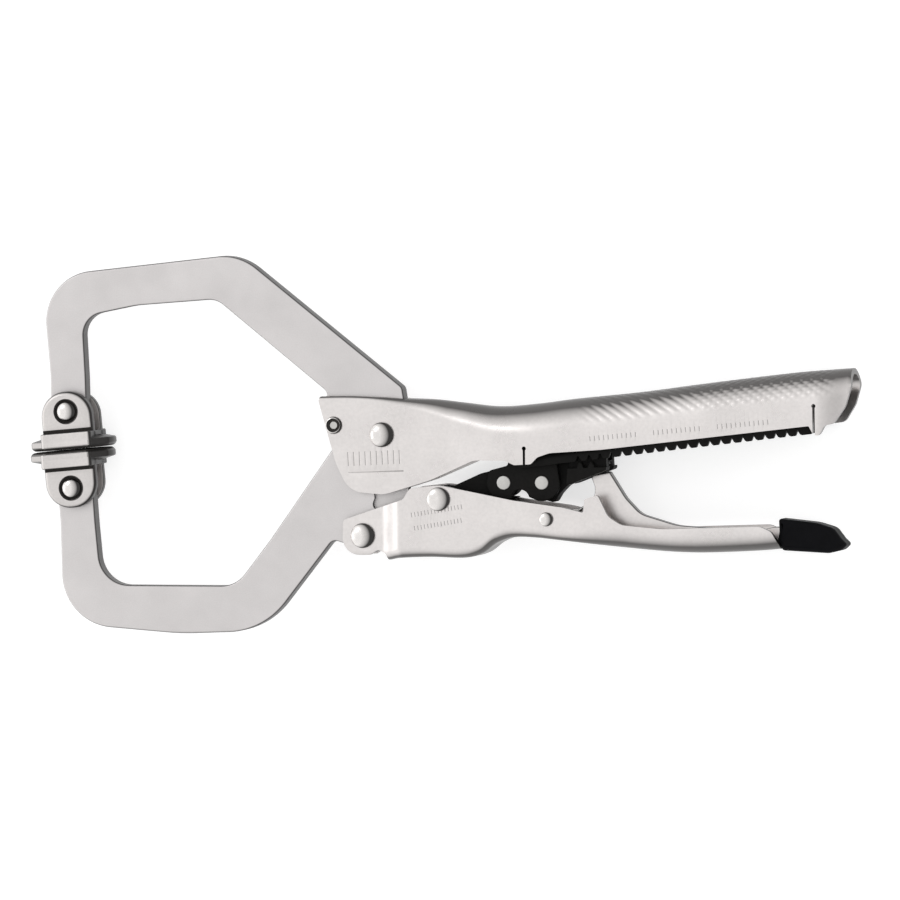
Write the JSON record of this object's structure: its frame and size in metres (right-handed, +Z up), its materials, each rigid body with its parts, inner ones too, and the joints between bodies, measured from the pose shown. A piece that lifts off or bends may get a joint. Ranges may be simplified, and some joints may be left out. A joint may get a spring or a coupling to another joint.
{
  "type": "locking c-clamp pliers",
  "caption": "Locking C-clamp pliers with deep jaws, swivel pads, a toggle linkage, a self-adjusting toothed rack and a vinyl-tipped release lever.",
  "frame": {"origin": "middle of the tool's footprint as it lies on one side, on the surface it lies on", "axes": "+X from the jaws to the handle ends, +Y from the lower handle to the upper handle, +Z up out of the tool's side"},
  "size_m": [0.2818, 0.1254, 0.021],
  "materials": {
    "pressed_steel": "satin nickel-plated pressing",
    "jaw_steel": "fine satin plate",
    "rivet_steel": "bright plated",
    "black_steel": "black oxide",
    "spring_steel": "plain spring wire",
    "vinyl": "dipped black vinyl"
  },
  "bodies": {
    "handle_frame": {"upper_handle": "pressed_steel", "upper_jaw": "jaw_steel", "front_rivet": "rivet_steel", "jaw_pivot_rivet": "rivet_steel", "rack": "black_steel", "spring_anchor": "rivet_steel", "return_spring": "spring_steel", "upper_pad_rivet": "rivet_steel"},
    "jaw_arm": {"lower_jaw": "jaw_steel", "lever_rivet": "rivet_steel", "lower_pad_rivet": "rivet_steel"},
    "lever": {"lower_handle": "pressed_steel", "link_rivet": "rivet_steel", "link_spacer_near": "black_steel", "link_spacer_far": "black_steel", "release_rivet": "rivet_steel", "release_spacer_near": "spring_steel", "release_spacer_far": "spring_steel", "release_spring": "spring_steel"},
    "link": {"toggle_link": "black_steel"},
    "shuttle": {"shuttle_cheek_near": "black_steel", "shuttle_cheek_far": "black_steel", "shuttle_front_pin": "rivet_steel", "shuttle_rear_pin": "rivet_steel", "guide_pin": "rivet_steel"},
    "pawl_block": {"pawl": "black_steel", "pawl_spring": "spring_steel"},
    "release": {"release_lever": "pressed_steel", "release_tip": "vinyl"},
    "upper_foot": {"upper_pad": "jaw_steel"},
    "lower_foot": {"lower_pad": "jaw_steel"}
  },
  "joints": [
    {"name": "jaw_pivot", "type": "hinge", "parent": "handle_frame", "child": "jaw_arm", "pos_m": [-0.01916, 0.00347, 0.0105], "axis": [0, 0, 1], "range_deg": [0, 35]},
    {"name": "lever_pivot", "type": "hinge", "parent": "jaw_arm", "child": "lever", "pos_m": [-0.02599, -0.02998, 0.0105], "axis": [0, 0, 1], "range_deg": [-52.6, 0]},
    {"name": "link_pivot", "type": "hinge", "parent": "lever", "child": "link", "pos_m": [0.00083, -0.01771, 0.0105], "axis": [0, 0, 1], "range_deg": [0, 45.4]},
    {"name": "shuttle_slide", "type": "slide", "parent": "handle_frame", "child": "shuttle", "axis": [0.9936, 0.1129, 0], "range_m": [0, 0.01876], "deforming": ["return_spring"]},
    {"name": "pawl_pivot", "type": "hinge", "parent": "shuttle", "child": "pawl_block", "pos_m": [0.03535, -0.01241, 0.0105], "axis": [0, 0, 1], "range_deg": [0, 4], "stiffness_Nm_per_rad": 0.02, "springref_deg": -11.46, "deforming": ["pawl_spring"]},
    {"name": "release_pivot", "type": "hinge", "parent": "lever", "child": "release", "pos_m": [0.03746, -0.02435, 0.0105], "axis": [0, 0, 1], "range_deg": [0, 5], "stiffness_Nm_per_rad": 0.1, "springref_deg": -11.46, "deforming": ["release_spring"]},
    {"name": "upper_pad_swivel", "type": "hinge", "parent": "handle_frame", "child": "upper_foot", "pos_m": [-0.12721, 0.01124, 0.0105], "axis": [0, 0, 1], "range_deg": [-18, 18]},
    {"name": "lower_pad_swivel", "type": "hinge", "parent": "jaw_arm", "child": "lower_foot", "pos_m": [-0.12571, -0.01421, 0.0105], "axis": [0, 0, 1], "range_deg": [-18, 18]}
  ],
  "couplings": [
    {"joint": "lever_pivot", "follows": "jaw_pivot", "ratio": -1.5},
    {"joint": "link_pivot", "follows": "jaw_pivot", "ratio": 1.294},
    {"joint": "shuttle_slide", "follows": "jaw_pivot", "m_per_rad": 0.030694},
    {"joint": "upper_pad_swivel", "follows": "jaw_pivot", "ratio": 0.5},
    {"joint": "lower_pad_swivel", "follows": "jaw_pivot", "ratio": -0.5}
  ]
}
